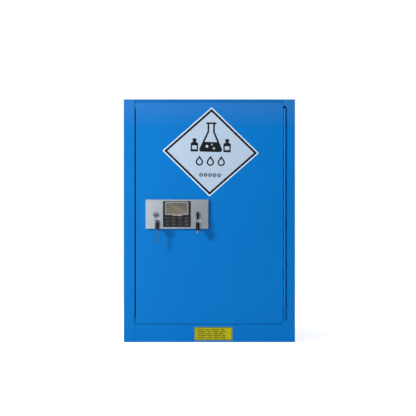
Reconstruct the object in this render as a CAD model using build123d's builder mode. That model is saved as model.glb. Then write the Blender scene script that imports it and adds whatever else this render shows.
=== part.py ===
from build123d import *
import math
import os

os.makedirs("parts", exist_ok=True)

# A single-door steel reagent cabinet. Front towards -Y, +X to the right, +Z up,
# origin at the middle of the base. All sizes are in millimetres.

# Whole cabinet
body_width = 628.0
body_depth = 460.0
body_height = 890.0
sheet = 1.2  # steel sheet of shell, frame, liner and door
wall = 40.4  # outer face to liner face: sheet, air gap, sheet
seam = 0.8  # groove between the left stile and the rails

# Front frame
left_stile_face = 39.5
right_stile_face = 42.4
hinge_notch = 12.4  # the right stile is cut back this much along the hinge
top_rail_face = 9.5
bottom_rail_face = 64.9
stop_reach = 20.0  # stop flange past the frame's edge, at the sides
lintel_drop = 40.0  # stop flange below the top rail
sill_rise = 25.1  # stop flange above the bottom rail
stile_lip = 24.0
stile_bend_r = 0.9
top_corner_r = 0.8

# Door
door_thick = 38.0
closing_gap = 2.0
door_top_gap = 1.0
door_bottom_gap = 1.6
edge_relief = 2.5  # closing edge set back between the two relief heights
relief_margin = 22.0  # from the door's ends to the relief
door_corner_r = 10.0
pan_rim = 8.0
pan_fit = 0.2
gasket_thick = 3.7
gasket_gap = 0.3
gasket_width = 9.0
gasket_edge = 2.0  # stop flange's edge to the gasket
fit_gap = 0.3

# Continuous hinge
barrel_r = 4.0
pin_r = 2.0
pin_fit = 0.08
pin_chamfer = 0.4
barrel_door_gap = 2.3
barrel_frame_gap = 3.5
hinge_proud = 1.0  # axis in front of the cabinet's front face
leaf_thick = 1.2
leaf_depth = 31.0
knuckles = 21
knuckle_gap = 0.3
hinge_low_inset = 21.1  # bottom rail to the hinge
hinge_high_inset = 23.5  # hinge to the top rail
notch_end_gap = 1.8  # hinge ends to the notch's ends
end_hole_r = 4.6  # round hole above the hinge, for driving the pin
end_hole_rise = 2.8  # hole's centre above the end of the hinge's notch

# Inside
shelf_deck_z = 450.0
shelf_skirt = 25.0
shelf_side_gap = 7.6
shelf_end_gap = 17.6
drain_pitch = 40.0
drain_r = 4.0
drain_inset = 30.0
shelf_corner_r = 1.0
standard_thick = 3.0
standard_width = 20.0
standard_inset = 62.0  # from the shelf's front and back edges
standard_low_gap = 79.6
standard_high_gap = 29.6
slot_pitch = 50.0
slot_width = 6.0
slot_height = 14.0
clip_thick = 2.0
clip_reach = 10.0
clip_width = 16.0
clip_foot = 8.0  # slot's middle to the clip's lower end
hook_half = 5.0
hook_half_width = 2.0
sump_below_sill = 2.0
sump_gap = 0.3

# Vents and ground stud, on the back
vent_side_inset = 73.6
vent_low_inset = 109.6
vent_high_inset = 89.6
vent_bore_r = 22.0
vent_wall = 3.0
vent_flange_r = 33.0
vent_flange_thick = 2.0
vent_stand_out = 8.0
arrestor_setback = 20.0  # liner's back face to the arrestor
arrestor_thick = 2.0
arrestor_hole_r = 2.0
inner_ring = 0.3  # rings of holes, as shares of the bore's radius
inner_ring_holes = 6
outer_ring = 0.7
outer_ring_holes = 12
cap_r = 30.0
cap_length = 12.0
cap_end = 3.0
cap_fit = 0.1
cap_edge_r = 1.2
stud_r = 3.0
stud_side_inset = 23.6
stud_z = 60.0
stud_free_length = 14.0
stud_inner_length = 4.0
nut_across = 10.0
nut_thick = 5.0

# Lock plate and keypad
plate_inset = 39.3  # door's closing edge to the plate
plate_width = 228.8
plate_below_lock = 50.2
plate_height = 106.7
plate_stand_off = 10.0
plate_corner_r = 1.5
unit_inset = 63.4  # plate's left edge to the keypad unit
unit_width = 101.2
unit_below_lock = 44.0
unit_height = 94.7
unit_thick = 6.0
unit_corner_r = 2.0
unit_edge_r = 0.8
bezel_width = 85.0
bezel_height = 48.7
bezel_top_margin = 2.0
bezel_proud = 1.5
bezel_depth = 3.5
bezel_chamfer = 0.5
window_width = 75.1
window_height = 38.9
glass_setback = 1.2
glass_thick = 1.6
glass_fit = 0.2
key_columns = 4
key_rows = 3
key_pitch_x = 24.0
key_pitch_z = 11.4
key_width = 20.0
key_height = 8.6
key_proud = 1.4
key_travel = 0.8
key_gap = 0.3
key_corner_r = 1.2
key_edge_r = 0.5
keypad_drop = 1.2  # keys' middle below the middle of the space under the display
keypad_floor = 1.0  # housing left under the keypad pocket

# Locks
lock_z = 466.0
left_lock_inset = 37.2  # plate's left edge to the lock's axis
right_lock_inset = 189.7
barrel_outer_r = 9.0
barrel_flange_r = 11.0
barrel_flange = 2.0
flange_edge_r = 0.8
lock_depth = 14.0  # door's front face to the back of the barrels
plug_r = 6.0
plug_proud = 2.0
plug_fit = 0.1
tail_r = 3.0
cam_thick = 2.0
cam_hub_r = 7.0
cam_margin = 2.0  # round the left cam's pin
cam_rim = 1.5  # round the right cam's pins
left_pin_end_gap = 1.0
right_pin_end_gap = 0.5
left_arm_r = 10.0
right_arm_r = 8.0
left_pin_r = 2.5
right_pin_r = 2.0
yoke_gap = 0.42
quarter = math.sqrt(0.5)  # sine and cosine of half a quarter turn

# Deadbolt, rods and solenoid
bolt_clear = 1.0  # cam to bolt
bolt_thick = 10.0
bolt_height = 24.0
bolt_drop = 4.5  # bolt centre below the lock axis
bolt_tail = 8.5
bolt_chamfer = 2.0
hole_gap = 0.5
rod_clear = 1.5  # cam to rods
rod_thick = 4.0
rod_width = 10.0
rod_setback = 3.5
yoke_half_width = 6.0
yoke_half_height = 6.0
strike_thick = 2.0
strike_margin = 10.0
solenoid_inset = 36.0  # left of the left lock
solenoid_size = 24.0
solenoid_height = 32.0
solenoid_pin_r = 3.0
solenoid_clear = 4.0  # body above the pin's stroke
solenoid_corner_r = 2.0
bore_end = 6.0  # solid end over the pin's bore
pin_end_gap = 2.0
pin_tip_chamfer = 0.6
solenoid_stroke = 4.0
pin_rest_gap = 0.5
notch_depth = 4.0
notch_side_gap = 0.6
case_left_reach = 28.8  # past the plate
case_right_reach = 31.5  # past the right lock
case_below_lock = 52.0
case_above_lock = 60.0
case_behind_bolt = 6.0
guide_length = 12.0
guide_thick = 3.0
battery_inset = 63.5  # right of the right lock
battery_width = 75.0
battery_below_lock = 41.0
battery_height = 90.0
battery_thick = 20.0
battery_corner_r = 3.0

# Lock keys, rings and spare keys
bow_start = 4.0  # lock face to bow
bow_hole_inset = 7.0  # bow's free end to the hole's middle
blade_end_gap = 6.0  # back of the barrel to the flat key's tip
tube_end_gap = 12.0  # and to the tubular key's tip
keyway_fit = 0.2
key_tip_gap = 0.5
left_bow_width = 20.0
left_bow_length = 26.0
left_bow_thick = 2.6
left_blade_width = 8.6
right_bow_height = 27.0
right_bow_length = 24.0
right_bow_thick = 7.5
right_bow_drop = 3.0  # bow's middle and its hole below the lock's axis
right_bow_corner_r = 6.0
right_bow_edge_r = 1.2
tube_outer_r = 3.9
tube_inner_r = 2.9
tube_fit = 0.15
ring_r = 12.5
ring_wire_r = 0.8
ring_slack = 0.8
left_ring_drop = 10.2  # bow's top face to the ring's centre
left_ring_offset = 4.9
left_hole_offset = -3.45
left_hole_size = 6.2
left_hole_corner_r = 1.8
left_bow_corner_r = 4.5
bow_hole_r = 3.0
spare_hole_r = 3.2
spare_hole_slack = 1.3
spare_head_width = 22.0
spare_head_thick = 5.5
spare_corner_r = 8.0
left_head_length = 34.0
right_head_length = 31.0
spare_top_margin = 1.8
left_spare_yaw = 24.0
right_spare_yaw = 22.0
left_spare_blade = 55.0
left_spare_blade_width = 7.0
tip_slot_width = 2.0
tip_slot_depth = 6.0
bites = (1.0, 1.8, 0.8, 1.6, 1.2, 2.0)
first_bite = 8.0  # blade's tip to the first bite
bite_pitch = 4.5
bite_width = 2.4
right_spare_tube = 9.0

# Signs
diamond_half_width = 176.9
diamond_half_height = 163.8
diamond_shift = 5.55  # right of the door's middle
diamond_drop = 181.9  # below the door's top edge
diamond_turn = -1.45
diamond_thick = 0.5
diamond_corner_r = 2.5
label_shift = 15.85  # right of the rail's middle
label_drop = 1.65
label_width = 139.7
label_height = 48.4
label_thick = 0.3
label_corner_r = 1.5

# Places that follow from the sizes above
half_width = body_width / 2
front = -body_depth / 2
back = body_depth / 2
skin_back = front + sheet
left_edge = -half_width + left_stile_face
right_edge = half_width - right_stile_face
notch_edge = right_edge + hinge_notch
rail_top = body_height - top_rail_face
rail_bottom = bottom_rail_face
liner_half = half_width - wall
liner_floor = wall
liner_top = body_height - wall
liner_back = back - wall
vent_x = -liner_half + vent_side_inset
vent_heights = (liner_floor + vent_low_inset, liner_top - vent_high_inset)
stud_x = liner_half - stud_side_inset
axis_x = notch_edge - barrel_frame_gap - barrel_r
axis_y = front - hinge_proud
door_left = left_edge + closing_gap
door_right = axis_x - barrel_r - barrel_door_gap
door_low = rail_bottom + door_bottom_gap
door_high = rail_top - door_top_gap
door_back = front + door_thick
pan_front = door_back - sheet
relief_low = door_low + relief_margin
relief_high = door_high - relief_margin
stop_front = door_back + gasket_gap + gasket_thick
stop_back = stop_front + sheet
doorway_half_width = -left_edge - stop_reach
doorway_bottom = rail_bottom + sill_rise
doorway_top = rail_top - lintel_drop
hinge_low = rail_bottom + hinge_low_inset
hinge_high = rail_top - hinge_high_inset
plate_left = door_left + plate_inset
plate_bottom = lock_z - plate_below_lock
plate_front = front - plate_stand_off
unit_left = plate_left + unit_inset
unit_bottom = lock_z - unit_below_lock
left_lock_x = plate_left + left_lock_inset
right_lock_x = plate_left + right_lock_inset
barrel_end_y = front + lock_depth
cam_back_y = barrel_end_y + cam_thick
bolt_front_y = cam_back_y + bolt_clear
rod_front_y = cam_back_y + rod_clear
unit_front = plate_front - unit_thick
lock_face = plate_front - barrel_flange - plug_proud
bolt_z = lock_z - bolt_drop
bolt_back_y = bolt_front_y + bolt_thick
bolt_throw = 2 * left_arm_r * quarter
bolt_tip = door_left + edge_relief
rod_back_y = rod_front_y + rod_thick
rod_offset = right_arm_r * (1 + quarter) / 2
solenoid_x = left_lock_x - solenoid_inset
case_left = plate_left - case_left_reach
case_right = right_lock_x + case_right_reach
case_bottom = lock_z - case_below_lock
case_top = lock_z + case_above_lock
case_back_y = bolt_back_y + case_behind_bolt


def block(x0, x1, y0, y1, z0, z1, mode=Mode.ADD):
    """A box between two corners, in the part that is being built."""
    with Locations(((x0 + x1) / 2, (y0 + y1) / 2, (z0 + z1) / 2)):
        Box(x1 - x0, y1 - y0, z1 - z0, mode=mode)


def span(a0, a1, b0, b1, mode=Mode.ADD):
    """A rectangle between two corners, in the sketch that is being built."""
    with Locations(((a0 + a1) / 2, (b0 + b1) / 2)):
        Rectangle(a1 - a0, b1 - b0, mode=mode)


def facing(y):
    """The plane at depth y whose normal points out of the cabinet's front."""
    return Plane.XZ.offset(-y)


def keep(part, name):
    """Label the finished part and write it under its own name."""
    part.label = name
    export_step(part, f"parts/{name}.step")


# Outer shell: five sheets
with BuildPart() as left_side_panel:
    block(-half_width, -half_width + sheet, skin_back, back - sheet, sheet, body_height - sheet)
keep(left_side_panel.part, "left_side_panel")

with BuildPart() as right_side_panel:
    block(half_width - sheet, half_width, skin_back, back - sheet, sheet, body_height - sheet)
keep(right_side_panel.part, "right_side_panel")

with BuildPart() as top_panel:
    block(-half_width, half_width, skin_back, back, body_height - sheet, body_height)
    fillet(top_panel.edges().filter_by(Axis.Z), top_corner_r)
keep(top_panel.part, "top_panel")

with BuildPart() as base_panel:
    block(-half_width, half_width, skin_back, back, 0, sheet)
keep(base_panel.part, "base_panel")

with BuildPart() as back_panel:
    block(-half_width, half_width, back - sheet, back, sheet, body_height - sheet)
    with Locations(*[(vent_x, back, z) for z in vent_heights]):
        Cylinder(vent_bore_r + vent_wall + fit_gap, 4 * sheet, rotation=(90, 0, 0), mode=Mode.SUBTRACT)
    with Locations((stud_x, back, stud_z)):
        Cylinder(stud_r + fit_gap, 4 * sheet, rotation=(90, 0, 0), mode=Mode.SUBTRACT)
keep(back_panel.part, "back_panel")

# Front frame. Each stile is one folded strip: lip, face, return and stop flange.
with BuildPart() as left_stile:
    with BuildSketch(Plane.XY.offset(sheet)):
        span(-half_width + sheet, -half_width + 2 * sheet, skin_back, skin_back + stile_lip)
        span(-half_width + sheet, left_edge, front, skin_back)
        span(left_edge - sheet, left_edge, front, stop_back)
        span(left_edge - sheet, -doorway_half_width, stop_front, stop_back)
    extrude(amount=body_height - 2 * sheet)
    block(-half_width, left_edge, front, skin_back, 0, body_height)
    left_bend = left_stile.edges().filter_by(Axis.Z).group_by(Axis.Y)[0].sort_by(Axis.X)[0]
    fillet(left_bend, stile_bend_r)
    block(
        left_edge - 2 * sheet,
        left_edge + sheet,
        bolt_front_y - hole_gap,
        bolt_back_y + hole_gap,
        bolt_z - bolt_height / 2 - hole_gap,
        bolt_z + bolt_height / 2 + hole_gap,
        mode=Mode.SUBTRACT,
    )
keep(left_stile.part, "left_stile")

end_hole_z = hinge_high + notch_end_gap + end_hole_rise
with BuildPart() as right_stile:
    with BuildSketch(Plane.XY.offset(sheet)):
        span(half_width - 2 * sheet, half_width - sheet, skin_back, skin_back + stile_lip)
        span(notch_edge, half_width - sheet, front, skin_back)
        span(notch_edge, notch_edge + sheet, front, stop_back)
        span(doorway_half_width, notch_edge + sheet, stop_front, stop_back)
    extrude(amount=body_height - 2 * sheet)
    block(notch_edge, half_width, front, skin_back, 0, body_height)
    right_bend = right_stile.edges().filter_by(Axis.Z).group_by(Axis.Y)[0].sort_by(Axis.X)[-1]
    fillet(right_bend, stile_bend_r)
    block(right_edge, notch_edge, front, skin_back, 0, hinge_low - notch_end_gap)
    block(right_edge, notch_edge, front, skin_back, end_hole_z, body_height)
    with BuildSketch(facing(skin_back)):
        with Locations((axis_x, end_hole_z)):
            Circle(end_hole_r)
    extrude(amount=sheet, mode=Mode.SUBTRACT)
keep(right_stile.part, "right_stile")

rail_left = left_edge + seam
keeper_x = (right_lock_x - rod_offset, right_lock_x + rod_offset)


def rod_slot(x, z0, z1, grow, mode=Mode.SUBTRACT):
    """A slot, or with another mode a plate, round a rod's section."""
    block(
        x - rod_width / 2 - grow,
        x + rod_width / 2 + grow,
        rod_front_y - grow,
        rod_back_y + grow,
        z0,
        z1,
        mode=mode,
    )


def corner_piece(edge_z, towards):
    """Web in the frame's corner by the hinge; towards is +1 where the door lies above it."""
    r = door_corner_r + right_edge - door_right
    far_z = edge_z + towards * r
    z0, z1 = sorted((edge_z, far_z))
    block(right_edge - r, right_edge, front, skin_back, z0, z1)
    with BuildSketch(facing(skin_back)) as opening:
        with Locations((right_edge - r, far_z)):
            Circle(r)
    extrude(opening.sketch, amount=sheet, mode=Mode.SUBTRACT)


with BuildPart() as top_rail:
    corner_piece(rail_top, -1)
    block(rail_left, right_edge, front, skin_back, rail_top, body_height)
    block(rail_left, notch_edge, skin_back, stop_front, rail_top, rail_top + sheet)
    block(-doorway_half_width, doorway_half_width, stop_front, stop_back, doorway_top, rail_top + sheet)
    rod_slot(keeper_x[0], rail_top - sheet, rail_top + 2 * sheet, hole_gap)
keep(top_rail.part, "top_rail")

with BuildPart() as bottom_rail:
    corner_piece(rail_bottom, 1)
    block(rail_left, right_edge, front, skin_back, 0, rail_bottom)
    block(rail_left, notch_edge, skin_back, stop_front, rail_bottom - sheet, rail_bottom)
    block(
        -doorway_half_width,
        doorway_half_width,
        stop_front,
        stop_back,
        rail_bottom - sheet,
        doorway_bottom,
    )
    rod_slot(keeper_x[1], rail_bottom - 2 * sheet, rail_bottom + sheet, hole_gap)
keep(bottom_rail.part, "bottom_rail")

# Inner liner: five sheets, open to the front
with BuildPart() as liner_left_sheet:
    block(-liner_half - sheet, -liner_half, stop_back, liner_back, liner_floor, liner_top)
keep(liner_left_sheet.part, "liner_left_sheet")

with BuildPart() as liner_right_sheet:
    block(liner_half, liner_half + sheet, stop_back, liner_back, liner_floor, liner_top)
keep(liner_right_sheet.part, "liner_right_sheet")

liner_outer = liner_half + sheet
with BuildPart() as liner_top_sheet:
    block(-liner_outer, liner_outer, stop_back, liner_back, liner_top, liner_top + sheet)
keep(liner_top_sheet.part, "liner_top_sheet")

with BuildPart() as liner_floor_sheet:
    block(-liner_outer, liner_outer, stop_back, liner_back, liner_floor - sheet, liner_floor)
keep(liner_floor_sheet.part, "liner_floor_sheet")

with BuildPart() as liner_back_sheet:
    block(
        -liner_outer,
        liner_outer,
        liner_back,
        liner_back + sheet,
        liner_floor - sheet,
        liner_top + sheet,
    )
    with Locations(*[(vent_x, liner_back, z) for z in vent_heights]):
        Cylinder(vent_bore_r + vent_wall + fit_gap, 4 * sheet, rotation=(90, 0, 0), mode=Mode.SUBTRACT)
keep(liner_back_sheet.part, "liner_back_sheet")

# Sump tray: an open pan that lies on the liner's floor
sump_half = liner_half - sump_gap
sump_wall_top = doorway_bottom - sump_below_sill
with BuildPart() as sump_tray:
    block(
        -sump_half,
        sump_half,
        stop_back + sump_gap,
        liner_back - sump_gap,
        liner_floor,
        sump_wall_top,
    )
    sump_rim = sump_tray.faces().sort_by(Axis.Z)[-1]
    offset(amount=-sheet, openings=sump_rim)
keep(sump_tray.part, "sump_tray")

# Shelf: a folded deck with skirts all round and two rows of drain holes at the back
shelf_half_width = liner_half - shelf_side_gap
shelf_half_depth = liner_back - shelf_end_gap
drain_count = int(2 * shelf_half_width / drain_pitch) - 1
with BuildPart() as shelf:
    block(
        -shelf_half_width,
        shelf_half_width,
        -shelf_half_depth,
        shelf_half_depth,
        shelf_deck_z - shelf_skirt,
        shelf_deck_z,
    )
    shelf_under = shelf.faces().sort_by(Axis.Z)[0]
    offset(amount=-sheet, openings=shelf_under)
    with Locations((0, shelf_half_depth - drain_inset, shelf_deck_z)):
        with GridLocations(drain_pitch, drain_pitch / 2, drain_count, 2):
            Hole(drain_r, depth=2 * sheet)
    fillet(shelf.edges().filter_by(Axis.Z).group_by(Axis.Y)[0], shelf_corner_r)
keep(shelf.part, "shelf")

standard_inner = liner_half - standard_thick
standard_y = shelf_half_depth - standard_inset
standard_bottom = liner_floor + standard_low_gap
standard_top = liner_top - standard_high_gap
slot_count = int((standard_top - standard_bottom) // slot_pitch)
slot_middle = (standard_top + standard_bottom) / 2
slot_heights = [slot_middle + (i - (slot_count - 1) / 2) * slot_pitch for i in range(slot_count)]

with BuildPart() as shelf_standards:
    for side in (-1, 1):
        for y in (-standard_y, standard_y):
            x0, x1 = sorted((side * standard_inner, side * liner_half))
            block(x0, x1, y - standard_width / 2, y + standard_width / 2, standard_bottom, standard_top)
            with Locations(*[(side * liner_half, y, z) for z in slot_heights]):
                Box(4 * standard_thick, slot_width, slot_height, mode=Mode.SUBTRACT)
keep(shelf_standards.part, "shelf_standards")

# The clips hook into the slot nearest below the shelf's skirt
clip_seat = shelf_deck_z - shelf_skirt
clip_slot = max(z for z in slot_heights if z < clip_seat - slot_height / 2)
clip_face = standard_inner - fit_gap - clip_thick

with BuildPart() as shelf_clips:
    for side in (-1, 1):
        for y in (-standard_y, standard_y):
            plate_x = sorted((side * clip_face, side * (clip_face + clip_thick)))
            ledge_x = sorted((side * (clip_face - clip_reach), side * (clip_face + clip_thick)))
            hook_x = sorted((side * clip_face, side * (liner_half - fit_gap)))
            block(*plate_x, y - clip_width / 2, y + clip_width / 2, clip_slot - clip_foot, clip_seat)
            block(*ledge_x, y - clip_width / 2, y + clip_width / 2, clip_seat - clip_thick, clip_seat)
            hook_z = (clip_slot - hook_half, clip_slot + hook_half)
            block(*hook_x, y - hook_half_width, y + hook_half_width, *hook_z)
keep(shelf_clips.part, "shelf_clips")

# Vents: flanged tubes from the liner through the back
vent_outer_r = vent_bore_r + vent_wall
tube_start = liner_back - vent_flange_thick
tube_end = back + vent_stand_out
arrestor_front = liner_back + arrestor_setback

with BuildPart() as vent_tubes:
    for z in vent_heights:
        with BuildSketch(facing(tube_end)):
            with Locations((vent_x, z)):
                Circle(vent_outer_r)
        extrude(amount=tube_end - tube_start)
        with BuildSketch(facing(liner_back)):
            with Locations((vent_x, z)):
                Circle(vent_flange_r)
        extrude(amount=vent_flange_thick)
    with BuildSketch(facing(tube_end)):
        with Locations(*[(vent_x, z) for z in vent_heights]):
            Circle(vent_bore_r)
    extrude(amount=tube_end - tube_start, mode=Mode.SUBTRACT)
keep(vent_tubes.part, "vent_tubes")

# Flame arrestors: perforated discs pressed into the tubes
with BuildPart() as flame_arrestors:
    with BuildSketch(facing(arrestor_front + arrestor_thick)):
        with Locations(*[(vent_x, z) for z in vent_heights]):
            Circle(vent_bore_r)
            with PolarLocations(vent_bore_r * inner_ring, inner_ring_holes):
                Circle(arrestor_hole_r, mode=Mode.SUBTRACT)
            with PolarLocations(vent_bore_r * outer_ring, outer_ring_holes):
                Circle(arrestor_hole_r, mode=Mode.SUBTRACT)
    extrude(amount=arrestor_thick)
keep(flame_arrestors.part, "flame_arrestors")

with BuildPart() as vent_caps:
    for z in vent_heights:
        with BuildSketch(facing(back + fit_gap + cap_length)):
            with Locations((vent_x, z)):
                Circle(cap_r)
        extrude(amount=cap_length)
        with BuildSketch(facing(back + fit_gap + cap_length - cap_end)):
            with Locations((vent_x, z)):
                Circle(vent_outer_r + cap_fit)
        extrude(amount=cap_length, mode=Mode.SUBTRACT)
    fillet(vent_caps.edges().filter_by(GeomType.CIRCLE).group_by(Axis.Y)[-1], cap_edge_r)
keep(vent_caps.part, "vent_caps")

# Ground stud: threaded stud with its two nuts, one each side of the back sheet
with BuildPart() as ground_stud:
    with BuildSketch(facing(back + nut_thick + stud_free_length)):
        with Locations((stud_x, stud_z)):
            Circle(stud_r)
    extrude(amount=stud_free_length + 2 * nut_thick + sheet + stud_inner_length)
    for y in (back + nut_thick, back - sheet):
        with BuildSketch(facing(y)):
            with Locations((stud_x, stud_z)):
                RegularPolygon(nut_across / 2, 6, major_radius=False)
        extrude(amount=nut_thick)
keep(ground_stud.part, "ground_stud")

# Strike plate for the deadbolt and keepers for the rods, one each
strike_y = (bolt_front_y - strike_margin, bolt_back_y + strike_margin)
with BuildPart() as strike_plates:
    block(
        left_edge - sheet - strike_thick,
        left_edge - sheet,
        *strike_y,
        bolt_z - bolt_height / 2 - strike_margin,
        bolt_z + bolt_height / 2 + strike_margin,
    )
    block(
        left_edge - 3 * sheet - strike_thick,
        left_edge,
        bolt_front_y - hole_gap,
        bolt_back_y + hole_gap,
        bolt_z - bolt_height / 2 - hole_gap,
        bolt_z + bolt_height / 2 + hole_gap,
        mode=Mode.SUBTRACT,
    )
    for x, z0 in ((keeper_x[0], rail_top + sheet), (keeper_x[1], rail_bottom - sheet - strike_thick)):
        rod_slot(x, z0, z0 + strike_thick, strike_margin, mode=Mode.ADD)
        rod_slot(x, z0 - 1, z0 + strike_thick + 1, hole_gap)
keep(strike_plates.part, "strike_plates")

# Door gasket: a rubber frame stuck to the stop flanges
gasket_reach = gasket_width + gasket_edge
gasket_low = doorway_bottom - gasket_reach
gasket_high = doorway_top + gasket_reach
gasket_half = doorway_half_width + gasket_reach
with BuildPart() as door_gasket:
    with BuildSketch(facing(stop_front)):
        span(-gasket_half, gasket_half, gasket_low, gasket_high)
        span(
            -gasket_half + gasket_width,
            gasket_half - gasket_width,
            gasket_low + gasket_width,
            gasket_high - gasket_width,
            mode=Mode.SUBTRACT,
        )
    extrude(amount=gasket_thick)
keep(door_gasket.part, "door_gasket")

# Label plate on the bottom rail
label_x = (rail_left + right_edge) / 2 + label_shift
label_z = rail_bottom / 2 - label_drop
with BuildPart() as info_label:
    with BuildSketch(facing(front)):
        with Locations((label_x, label_z)):
            RectangleRounded(label_width, label_height, label_corner_r)
    extrude(amount=label_thick)
keep(info_label.part, "info_label")

# Continuous hinge: two leaves with alternating knuckles on one pin
knuckle_length = (hinge_high - hinge_low) / knuckles
leaf_back = axis_y + leaf_depth
web_back = axis_y + barrel_r
web_front = web_back - leaf_thick


def hinge_leaf(x0, x1, own_first):
    """Leaf plate and knuckles; own_first says whether the lowest knuckle is its own."""
    block(x0, x1, web_front, leaf_back, hinge_low, hinge_high)
    for i in range(knuckles):
        if (i % 2 == 0) != own_first:
            continue
        z0 = hinge_low + i * knuckle_length + knuckle_gap / 2
        z1 = hinge_low + (i + 1) * knuckle_length - knuckle_gap / 2
        block(min(x0, axis_x), max(x1, axis_x), web_front, web_back, z0, z1)
        with BuildSketch(Plane.XY.offset(z0)) as knuckle:
            with Locations((axis_x, axis_y)):
                Circle(barrel_r)
        extrude(knuckle.sketch, amount=z1 - z0)
    with Locations((axis_x, axis_y, (hinge_low + hinge_high) / 2)):
        Cylinder(pin_r + pin_fit, hinge_high - hinge_low, mode=Mode.SUBTRACT)


with BuildPart() as hinge_frame_leaf:
    hinge_leaf(notch_edge - leaf_thick, notch_edge, True)
keep(hinge_frame_leaf.part, "hinge_frame_leaf")

with BuildPart() as hinge_door_leaf:
    hinge_leaf(door_right, door_right + leaf_thick, False)
keep(hinge_door_leaf.part, "hinge_door_leaf")

with BuildPart() as hinge_pin:
    with BuildSketch(Plane.XY.offset(hinge_low)):
        with Locations((axis_x, axis_y)):
            Circle(pin_r)
    extrude(amount=hinge_high - hinge_low)
    chamfer(hinge_pin.edges().filter_by(GeomType.CIRCLE), pin_chamfer)
keep(hinge_pin.part, "hinge_pin")


def door_outline(inset):
    """Door seen from the front: closing edge relieved, hinge side corners round."""
    Polygon(
        (door_left + inset, door_low + inset),
        (door_right - inset, door_low + inset),
        (door_right - inset, door_high - inset),
        (door_left + inset, door_high - inset),
        (door_left + inset, relief_high + inset),
        (door_left + edge_relief + inset, relief_high + inset),
        (door_left + edge_relief + inset, relief_low - inset),
        (door_left + inset, relief_low - inset),
    )


def hinge_corners(sketch):
    """The two corners on the hinge side."""
    return sketch.vertices().group_by(Axis.X)[-1]


# Door: outer pan with its returns
with BuildPart() as door_skin:
    with BuildSketch(facing(pan_front)) as skin_outline:
        door_outline(0)
        fillet(hinge_corners(skin_outline), door_corner_r)
    extrude(amount=pan_front - front)
    with BuildSketch(facing(pan_front)) as skin_hollow:
        door_outline(sheet)
        fillet(hinge_corners(skin_hollow), door_corner_r - sheet)
    extrude(amount=pan_front - skin_back, mode=Mode.SUBTRACT)
    for lock_x in (left_lock_x, right_lock_x):
        with BuildSketch(facing(skin_back)):
            with Locations((lock_x, lock_z)):
                Circle(barrel_outer_r + fit_gap)
        extrude(amount=2 * sheet, mode=Mode.SUBTRACT)
    block(
        door_left - 1,
        door_left + edge_relief + 2 * sheet,
        bolt_front_y - hole_gap,
        bolt_back_y + hole_gap,
        bolt_z - bolt_height / 2 - hole_gap,
        bolt_z + bolt_height / 2 + hole_gap,
        mode=Mode.SUBTRACT,
    )
    rod_slot(keeper_x[0], door_high - 2 * sheet, door_high + 1, hole_gap)
    rod_slot(keeper_x[1], door_low - 1, door_low + 2 * sheet, hole_gap)
keep(door_skin.part, "door_skin")

# Door: flat inner pan with a rim that laps inside the skin
rim_inset = sheet + pan_fit
with BuildPart() as door_inner_pan:
    with BuildSketch(facing(door_back)) as pan_outline:
        door_outline(0)
        fillet(hinge_corners(pan_outline), door_corner_r)
    extrude(amount=sheet)
    with BuildSketch(facing(pan_front)) as rim_outline:
        door_outline(rim_inset)
        fillet(hinge_corners(rim_outline), door_corner_r - rim_inset)
    extrude(amount=pan_rim)
    with BuildSketch(facing(pan_front)) as rim_hollow:
        door_outline(rim_inset + sheet)
        fillet(hinge_corners(rim_hollow), door_corner_r - rim_inset - sheet)
    extrude(amount=pan_rim + 1, mode=Mode.SUBTRACT)
keep(door_inner_pan.part, "door_inner_pan")

# Diamond sign: a thin sheet with slightly rounded corners, a little askew
diamond_x = (door_left + door_right) / 2 + diamond_shift
diamond_z = door_high - diamond_drop
with BuildPart() as hazard_placard:
    with BuildSketch(facing(front)) as diamond:
        with Locations(Location((diamond_x, diamond_z), diamond_turn)):
            Polygon(
                (-diamond_half_width, 0),
                (0, -diamond_half_height),
                (diamond_half_width, 0),
                (0, diamond_half_height),
            )
        fillet(diamond.vertices(), diamond_corner_r)
    extrude(amount=diamond_thick)
keep(hazard_placard.part, "hazard_placard")

# Lock faceplate: a shallow box of brushed steel, open at the back
plate_right = plate_left + plate_width
plate_top = plate_bottom + plate_height
with BuildPart() as lock_faceplate:
    block(plate_left, plate_right, plate_front, front, plate_bottom, plate_top)
    fillet(lock_faceplate.edges().filter_by(Axis.Y), plate_corner_r)
    plate_open = lock_faceplate.faces().sort_by(Axis.Y)[-1]
    offset(amount=-sheet, openings=plate_open)
    for lock_x in (left_lock_x, right_lock_x):
        with BuildSketch(facing(plate_front + sheet)):
            with Locations((lock_x, lock_z)):
                Circle(barrel_outer_r + fit_gap)
        extrude(amount=2 * sheet, mode=Mode.SUBTRACT)
keep(lock_faceplate.part, "lock_faceplate")

# Keypad unit: housing with a pocket for the display and one for each key
unit_right = unit_left + unit_width
unit_top = unit_bottom + unit_height
unit_x = (unit_left + unit_right) / 2
bezel_z = unit_top - bezel_top_margin - bezel_height / 2
keypad_top = bezel_z - bezel_height / 2
keypad_z = (unit_bottom + keypad_top) / 2 - keypad_drop
key_inner = unit_front + unit_thick - keypad_floor - key_travel - fit_gap

with BuildPart() as keypad_housing:
    block(unit_left, unit_right, unit_front, plate_front, unit_bottom, unit_top)
    fillet(keypad_housing.edges().filter_by(Axis.Y), unit_corner_r)
    fillet(keypad_housing.faces().sort_by(Axis.Y)[0].edges(), unit_edge_r)
    with BuildSketch(facing(unit_front + bezel_depth)):
        with Locations((unit_x, bezel_z)):
            Rectangle(bezel_width + 2 * fit_gap, bezel_height + 2 * fit_gap)
    extrude(amount=bezel_depth + 1, mode=Mode.SUBTRACT)
    with BuildSketch(facing(plate_front - keypad_floor)):
        with Locations((unit_x, keypad_z)):
            with GridLocations(key_pitch_x, key_pitch_z, key_columns, key_rows):
                Rectangle(key_width + 2 * key_gap, key_height + 2 * key_gap)
    extrude(amount=unit_thick, mode=Mode.SUBTRACT)
keep(keypad_housing.part, "keypad_housing")

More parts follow.
